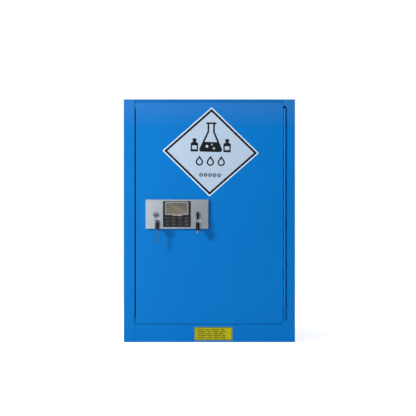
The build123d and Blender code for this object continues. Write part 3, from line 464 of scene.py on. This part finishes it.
def twoPart(name, axis, edge, lowSide, highSide, eyeEdge=None):  # split at an edge on an axis
    look = keyLook
    f = Finish(name, lowSide[0], sum(look["rough"]) / 2, specular=look["specular"])
    wear = f.noise(look["wearScale"], 4)
    side = f.above(axis, edge)
    wornSpan = f.spread(wear, *look["wearSpan"], 0, 1)
    low, high = (
        f.blend(wornSpan, colour, mixed(colour, look["worn"], look["wornShare"]))
        for colour in (lowSide[0], highSide[0])
    )
    base = f.blend(side, low, high)
    metal = f.spread(side, 0, 1, lowSide[1], highSide[1])
    if eyeEdge:  # bare metal round the hole at the top
        top = f.above(axis, eyeEdge)
        base = f.blend(top, base, look["eyeSteel"])
        grown = f.add("ShaderNodeMath", operation="MULTIPLY_ADD")
        grown.inputs[1].default_value = look["eyeMetal"]
        f.join(top, grown.inputs[0])
        f.join(metal, grown.inputs[2])
        metal = grown.outputs[0]
    f.colour(base)
    f.join(metal, f.shader.inputs["Metallic"])
    f.roughness(f.spread(wear, *noiseSpan, *look["rough"]))
    f.bump((f.noise(look["grain"], 2), look["grainDepth"]))
    return f.material


finishes = {
    "bluePaint": powderCoat("bluePaint"),
    # the top rail: the door's blue paint darkened, as painted shade
    "railShadedPaint": powderCoat("railShadedPaint", darkening=0.16, dull=0.1, withDustAndSheen=0.1),
    "linerPaint": powderCoat("linerPaint", darkening=0.12, dull=0.08, withDustAndSheen=0.0),
    "plateSteel": brushedSteel("plateSteel"),
    "rodSteel": brushedSteel("rodSteel", "alongZ"),
    "zinc": zincPlate("zinc"),
    "shelfZinc": zincPlate("shelfZinc", bright=(0.58, 0.60, 0.62), dark=(0.47, 0.49, 0.52), spangle=45),
    "chrome": polished("chrome", (0.60, 0.61, 0.63), (0.32, 0.42)),
    "lockMetal": polished("lockMetal", (0.30, 0.29, 0.36), (0.30, 0.42)),
    "brass": polished("brass", (0.66, 0.48, 0.22), (0.22, 0.38)),
    "rubber": moulded("rubber", (0.016, 0.016, 0.017), (0.6, 0.8), 500, 0.00006),
    "signSheet": printedSheet("signSheet", (0.42, 0.53, 0.67), (0.45, 0.56, 0.70)),
    "signMargin": printedSheet("signMargin", (0.60, 0.73, 0.88), (0.64, 0.77, 0.92)),
    "labelSheet": printedSheet("labelSheet", (0.51, 0.48, 0.004), (0.40, 0.38, 0.004), 140, 0.15),
    "blackPlastic": moulded("blackPlastic", keyLook["black"]),
    "keyPlastic": moulded("keyPlastic", (0.026, 0.026, 0.029), (0.35, 0.5)),
    "silverPlastic": moulded("silverPlastic", (0.26, 0.26, 0.27), (0.26, 0.36)),
    "batteryPlastic": moulded("batteryPlastic", (0.03, 0.03, 0.032)),
    "ink": moulded("ink", (0.004, 0.004, 0.006), (0.45, 0.6), specular=0.12),
    "greenInk": moulded("greenInk", (0.008, 0.055, 0.028), (0.3, 0.4), specular=0.15),
    "oliveInk": moulded("oliveInk", (0.06, 0.052, 0.006), (0.3, 0.4), specular=0.15),
    "legend": moulded("legend", (0.30, 0.30, 0.29), (0.4, 0.5)),
    "lampLens": moulded("lampLens", (0.50, 0.49, 0.47), (0.3, 0.4)),
}


screen = {
    # foot and head: a painted reflection, the glass lighter at the bottom and darker at the top
    "foot": (0.165, 0.145, 0.098),
    "head": (0.110, 0.102, 0.085),
    "haze": (0.19, 0.17, 0.125),
    "hazeScale": 55,
    "hazeStretch": (0.5, 1, 1.6),
    "hazeSpan": (0.4, 0.7),
    "hazeShare": 0.45,
    # a painted reflection: the pale slanting band across the glass
    "reflectionBand": (0.30, 0.28, 0.24),
    "bandAcross": (0.5, 0, 0.87),  # direction square to the pale slanting band, a painted reflection
    "bandHalf": 0.007,
    "bandShare": 0.30,
    "specular": 0.3,
    "rough": (0.16, 0.28),
    "coat": 0.6,
    "coatRough": 0.08,
    "grain": 300,
    "grainDepth": 0.00001,
}


def displayGlass():  # a dull olive window under a clear coat, with painted reflections: lighter towards the bottom, and a pale slanting band
    low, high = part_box("lcd_screen")
    f = Finish("displayGlass", screen["foot"], sum(screen["rough"]) / 2, specular=screen["specular"])
    rise = f.spread(f.height("Z"), low.z, high.z, 0, 1)
    haze = f.noise(screen["hazeScale"], 3, stretch=screen["hazeStretch"])
    # painted reflection: lighter at the bottom, darker at the top
    base = f.blend(rise, screen["foot"], screen["head"])
    base = f.blend(f.spread(haze, *screen["hazeSpan"], 0, screen["hazeShare"]), base, screen["haze"])
    slant = f.add("ShaderNodeVectorMath", operation="DOT_PRODUCT")
    shifted = f.add("ShaderNodeMath", operation="SUBTRACT")
    away = f.add("ShaderNodeMath", operation="ABSOLUTE")
    slant.inputs[1].default_value = screen["bandAcross"]
    shifted.inputs[1].default_value = (low + high).dot(Vector(screen["bandAcross"])) / 2
    f.join(f.place, slant.inputs[0])
    f.join(slant.outputs["Value"], shifted.inputs[0])
    f.join(shifted.outputs[0], away.inputs[0])
    # painted reflection: the pale slanting band
    reflectionBand = f.spread(away.outputs[0], 0, screen["bandHalf"], screen["bandShare"], 0)
    f.colour(f.blend(reflectionBand, base, screen["reflectionBand"]))
    f.roughness(f.spread(haze, *noiseSpan, *screen["rough"]))
    f.setting("Coat Weight", screen["coat"])
    f.setting("Coat Roughness", screen["coatRough"])
    f.bump((f.noise(screen["grain"], 2), screen["grainDepth"]))
    return f.material


finishes["displayGlass"] = displayGlass()
print("finishes made")

keys = {
    "spareHeads": {"left_spare_key": 0.034, "right_spare_key": 0.031},  # length of each head
    "spareEyes": {"left_spare_key": 0.0105},  # bare metal round the hole
    "bowStart": 0.004,  # from the lock's face to the moulded bow
    "leftBright": (0.035, 0.035, 0.05),
    "leftDark": (0.02, 0.02, 0.028),
}
nodeFinish = {
    "bluePaint": [
        "left_side_panel", "right_side_panel", "top_panel", "base_panel", "back_panel",
        "left_stile", "right_stile", "bottom_rail",
        "hinge_frame_leaf", "hinge_door_leaf", "door_skin", "door_inner_pan",
    ],
    "railShadedPaint": ["top_rail"],
    "linerPaint": [
        "liner_left_sheet", "liner_right_sheet", "liner_top_sheet", "liner_floor_sheet", "liner_back_sheet",
        "sump_tray",
    ],
    "shelfZinc": ["shelf", "shelf_standards"],
    "zinc": [
        "shelf_clips", "vent_tubes", "flame_arrestors", "strike_plates", "hinge_pin", "lock_case",
        "solenoid_body", "left_cam", "right_cam", "upper_rod", "lower_rod",
    ],
    "brass": ["vent_caps", "ground_stud"],
    "rubber": ["door_gasket"],
    "signMargin": ["hazard_placard"],
    "labelSheet": ["info_label"],
    "plateSteel": ["lock_faceplate", "deadbolt"],
    "rodSteel": ["solenoid_pin"],
    "blackPlastic": ["keypad_housing"],
    "silverPlastic": ["lcd_bezel"],
    "displayGlass": ["lcd_screen"],
    "lockMetal": ["lock_barrels", "left_lock_plug", "right_lock_plug"],
    "chrome": ["left_key_ring", "right_key_ring"],
    "batteryPlastic": ["battery_box"],
}


def finishNode(name, material):
    mesh = nodes[name].data
    mesh.materials.clear()
    mesh.materials.append(material)


def finishKeys():
    bare, head = (keyLook["steel"], 1.0), (keyLook["black"], 0.0)
    for name, length in keys["spareHeads"].items():
        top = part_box(name)[1].z
        eye = keys["spareEyes"].get(name)
        made = twoPart(name + "Finish", "Z", top - length, bare, head, eyeEdge=top - eye if eye else None)
        finishNode(name, made)
    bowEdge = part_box("right_lock_plug")[0].y - keys["bowStart"]
    finishNode("right_key", twoPart("rightKeyFinish", "Y", bowEdge, head, bare))
    finishNode("left_key", brushedSteel("leftKeySteel", bright=keys["leftBright"], dark=keys["leftDark"]))


def finishNodes():
    for finish, names in nodeFinish.items():
        for name in names:
            finishNode(name, finishes[finish])
    finishKeys()
    for name in nodes:
        if name.startswith("pad_key_"):
            finishNode(name, finishes["keyPlastic"])


soft = {"width": 0.0004, "segments": 2, "angle": 40}


def softenEdges(names, width):
    for name in names:
        bevel = nodes[name].modifiers.new("edges", "BEVEL")
        bevel.width = width
        bevel.segments = soft["segments"]
        bevel.limit_method = "ANGLE"
        bevel.angle_limit = math.radians(soft["angle"])


finishNodes()
softenEdges(["keypad_housing", "lock_faceplate", "right_key", *keys["spareHeads"]], soft["width"])
print("CAD nodes finished")


def curvePiece(name, curve, stand, material, body):
    shape = bpy.data.objects.new(name + "Shape", curve)
    bpy.context.scene.collection.objects.link(shape)
    mesh = bpy.data.meshes.new_from_object(shape)
    bpy.data.objects.remove(shape)
    mesh.name = name
    mesh.transform(stand)
    mesh.materials.clear()
    mesh.materials.append(material)
    piece = bpy.data.objects.new(name, mesh)
    bpy.context.scene.collection.objects.link(piece)
    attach(piece, body)


def flatPiece(name, loops, y, thick, material, body, slotName, turn=None):  # inner loops are holes
    curve = bpy.data.curves.new(name, "CURVE")
    curve.dimensions = "2D"
    curve.fill_mode = "BOTH"
    curve.extrude = thick / 2
    for loop in loops:
        line = curve.splines.new("POLY")
        line.points.add(len(loop) - 1)
        for point, (x, z) in zip(line.points, loop):
            point.co = (x, z, 0, 1)
        line.use_cyclic_u = True
    stand = Matrix.Translation((0, y - thick / 2, 0)) @ Matrix.Rotation(math.pi / 2, 4, "X")
    curvePiece(name, curve, (turn or Matrix.Identity(4)) @ stand, material, body)


def circleLoop(x, z, r, steps=32):
    turns = [2 * math.pi * i / steps for i in range(steps)]
    return [(x + r * math.cos(t), z + r * math.sin(t)) for t in turns]


def arcLoop(x, z, r, start, end, steps=8):
    turns = [math.radians(start + (end - start) * i / steps) for i in range(steps + 1)]
    return [(x + r * math.cos(t), z + r * math.sin(t)) for t in turns]


def roundedBox(x0, x1, z0, z1, r, steps=6):
    corners = ((x1 - r, z1 - r, 0), (x0 + r, z1 - r, 90), (x0 + r, z0 + r, 180), (x1 - r, z0 + r, 270))
    loop = []
    for x, z, start in corners:
        loop += arcLoop(x, z, r, start, start + 90, steps)
    return loop


def rhombus(halfWidth, halfHeight):
    return [(-halfWidth, 0), (0, -halfHeight), (halfWidth, 0), (0, halfHeight)]


sign = {
    "halfWidth": 0.1769,
    "halfHeight": 0.1638,
    "turn": 1.45,  # degrees, clockwise
    "margin": 0.0044,  # from the edge to the black line, square to the edge
    "line": 0.0078,
    "lap": 0.0002,  # of the line over the field
    "ink": 0.00012,
    "fieldShare": 0.6,  # of the ink's thickness
}
flask = {
    "stroke": 0.0062,
    "top": 0.108,
    "neck": 0.0135,  # half widths
    "lip": 0.0185,
    "base": 0.042,
    "shoulderDrop": 0.034,
    "level": 0.036,
    "corner": 0.008,
    "wallShare": 1.1,  # of the stroke, along the sloping wall
    "neckShare": 0.3,
    "bubbles": ((-0.014, 0.020, 0.0052), (0.012, 0.013, 0.0040), (0.004, 0.027, 0.0028)),
}
bottle = {
    "x": 0.060,
    "half": 0.0135,
    "neck": 0.0050,
    "cap": 0.0072,
    "body": 0.030,
    "shoulder": 0.036,
    "capFoot": 0.039,
    "capTop": 0.048,
    "window": (-0.0085, 0.0085, 0.008, 0.022),
    "windowCorner": 0.0015,
}
drop = {
    "z": -0.038,
    "pitch": 0.040,
    "r": 0.0135,
    "tip": 0.0235,
    "stroke": 0.0052,
    "tipShare": 1.9,
    "steps": 20,
}
dot = {"z": -0.085, "pitch": 0.0165, "r": 0.0066, "holeR": 0.0030, "holeSteps": 16}


def signPlace():
    low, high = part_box("hazard_placard")
    middle = (low + high) / 2
    return Vector((middle.x, low.y, middle.z))


def signTurn(middle):
    turn = Matrix.Rotation(math.radians(sign["turn"]), 4, "Y")
    return Matrix.Translation((middle.x, 0, middle.z)) @ turn


def shrunk(distance):  # the rhombus with its sides moved in
    w, h = sign["halfWidth"], sign["halfHeight"]
    share = 1 - distance * math.hypot(w, h) / (w * h)
    return rhombus(w * share, h * share)


def flaskLoops():  # a conical flask, filled up to a level, with three bubbles left clear
    t, top, neck, lip, base = (flask[key] for key in ("stroke", "top", "neck", "lip", "base"))
    level, r = flask["level"], flask["corner"]
    shoulder = top - flask["shoulderDrop"]
    rim = top - t
    lean = math.degrees(math.atan2(shoulder - r, base - neck))
    outer = [(-lip, top), (-lip, rim), (-neck, rim), (-neck, shoulder)]
    outer += arcLoop(-base + r, r, r, 90 + lean, 270)
    outer += arcLoop(base - r, r, r, 270, 450 - lean)
    outer += [(neck, shoulder), (neck, rim), (lip, rim), (lip, top)]
    slope = (base - neck) / (shoulder - r)
    atLevel = neck + slope * (shoulder - level) - t * flask["wallShare"]
    atNeck = shoulder - t * flask["neckShare"]
    right = [(atLevel, level), (neck - t, atNeck), (neck - t, rim)]
    inner = [(-x, z) for x, z in reversed(right)] + right
    return [outer, inner] + [circleLoop(*bubble) for bubble in flask["bubbles"]]


def bottleLoops(x):  # a capped bottle with its label left clear
    half, neck, cap = bottle["half"], bottle["neck"], bottle["cap"]
    outline = [(-half, 0.0), (half, 0.0), (half, bottle["body"]), (neck, bottle["shoulder"])]
    outline += [(neck, bottle["capFoot"]), (cap, bottle["capFoot"]), (cap, bottle["capTop"])]
    outline += [(-a, b) for a, b in reversed(outline[2:])]
    window = roundedBox(*bottle["window"], bottle["windowCorner"])
    return [[(x + a, b) for a, b in outline], [(x + a, b) for a, b in window]]


def dropLoops(x, z):  # a drop's outline, its point upwards
    r, tip, t = drop["r"], drop["tip"], drop["stroke"]
    loops = []
    for radius, high in ((r, tip), (r - t, tip - t * drop["tipShare"])):
        lean = math.degrees(math.acos(radius / high))
        loops.append([(x, z + high)] + arcLoop(x, z, radius, 90 + lean, 450 - lean, drop["steps"]))
    return loops


def makeSign():
    middle = signPlace()
    turn = signTurn(middle)
    y, ink = middle.y, sign["ink"]
    inside = sign["margin"] + sign["line"]
    under = ink * sign["fieldShare"]
    drops = []
    for i in (-1, 0, 1):
        drops += dropLoops(i * drop["pitch"], drop["z"])
    dots = []
    for i in (-2, -1, 0, 1, 2):
        dots.append(circleLoop(i * dot["pitch"], dot["z"], dot["r"]))
        dots.append(circleLoop(i * dot["pitch"], dot["z"], dot["holeR"], dot["holeSteps"]))
    prints = (
        ("signField", [shrunk(inside + sign["lap"])], y, under, "signSheet"),
        ("signLine", [shrunk(sign["margin"]), shrunk(inside)], y, ink, "ink"),
        ("signFlask", flaskLoops(), y - under, ink, "ink"),
        ("signLeftBottle", bottleLoops(-bottle["x"]), y - under, ink, "ink"),
        ("signRightBottle", bottleLoops(bottle["x"]), y - under, ink, "ink"),
        ("signDrops", drops, y - under, ink, "ink"),
        ("signDots", dots, y - under, ink, "ink"),
    )
    for name, loops, at, thick, finish in prints:
        flatPiece(name, loops, at, thick, finishes[finish], "door", "sign_sheet", turn)


makeSign()

label = {
    "inset": 0.0012,  # sheet's edge to the border
    "border": 0.0020,
    "corner": 0.0014,
    "innerCorner": 0.0008,
    "ink": 0.00010,
    "rows": 5,
    "topMargin": 0.006,
    "sideMargin": 0.010,
    "tallShare": 0.38,  # of a row's pitch
    "dropShare": 0.7,
    "bars": (0.030, 0.018, 0.026, 0.015, 0.022),
    "barLow": 0.82,
    "barStep": 0.09,
    "barCorner": 0.0006,
    "gap": 0.0042,
    "lastShort": 0.014,
}


def labelBars(low, high):  # rows of plain bars
    pitch = (high.z - low.z - 2 * label["topMargin"]) / label["rows"]
    bars = []
    for row in range(label["rows"]):
        z = high.z - label["topMargin"] - (row + label["dropShare"]) * pitch
        x = low.x + label["sideMargin"]
        end = high.x - label["sideMargin"] - label["lastShort"] * (row == label["rows"] - 1)
        for i, wide in enumerate(label["bars"]):
            wide *= label["barLow"] + label["barStep"] * ((row * 3 + i * 2) % 5)
            if x + wide > end:
                break
            bars.append(roundedBox(x, x + wide, z, z + pitch * label["tallShare"], label["barCorner"], 3))
            x += wide + label["gap"]
    return bars


def makeLabel():
    low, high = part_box("info_label")
    loops = []
    inner = label["inset"] + label["border"]
    for edge, r in ((label["inset"], label["corner"]), (inner, label["innerCorner"])):
        loops.append(roundedBox(low.x + edge, high.x - edge, low.z + edge, high.z - edge, r))
    place = ("cabinet", "label_sheet")
    flatPiece("labelBorder", loops, low.y, label["ink"], finishes["greenInk"], *place)
    flatPiece("labelBars", labelBars(low, high), low.y, label["ink"], finishes["oliveInk"], *place)


makeLabel()
print("sign and label printed")

legends = {"texts": "1234567890*#", "size": 0.0062, "thick": 0.00012}


def makeLegends():
    for i, text in enumerate(legends["texts"]):
        name = f"legend_{i + 1}"
        low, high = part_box(f"pad_key_{i + 1}")
        curve = bpy.data.curves.new(name, "FONT")
        curve.body = text
        curve.size = legends["size"]
        curve.align_x = "CENTER"
        curve.align_y = "CENTER"
        curve.extrude = legends["thick"] / 2
        middle = ((low.x + high.x) / 2, low.y - legends["thick"] / 2, (low.z + high.z) / 2)
        stand = Matrix.Translation(middle) @ Matrix.Rotation(math.pi / 2, 4, "X")
        curvePiece(name, curve, stand, finishes["legend"], f"key_{i + 1}")


indicators = {
    "drop": 0.0030,  # below the display's bezel
    "height": 0.0022,
    "thick": 0.0005,
    "corner": 0.0010,
    "spans": ((0.0355, 0.0465), (0.0500, 0.0700)),  # from the unit's left edge
}


def makeIndicators():
    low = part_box("keypad_housing")[0]
    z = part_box("lcd_bezel")[0].z - indicators["drop"]
    for i, (start, end) in enumerate(indicators["spans"]):
        loop = roundedBox(low.x + start, low.x + end, z, z + indicators["height"], indicators["corner"])
        place = (finishes["lampLens"], "door", "silver_plastic")
        flatPiece(f"indicator_{i + 1}", [loop], low.y, indicators["thick"], *place)


makeLegends()
makeIndicators()
print("keypad finished")
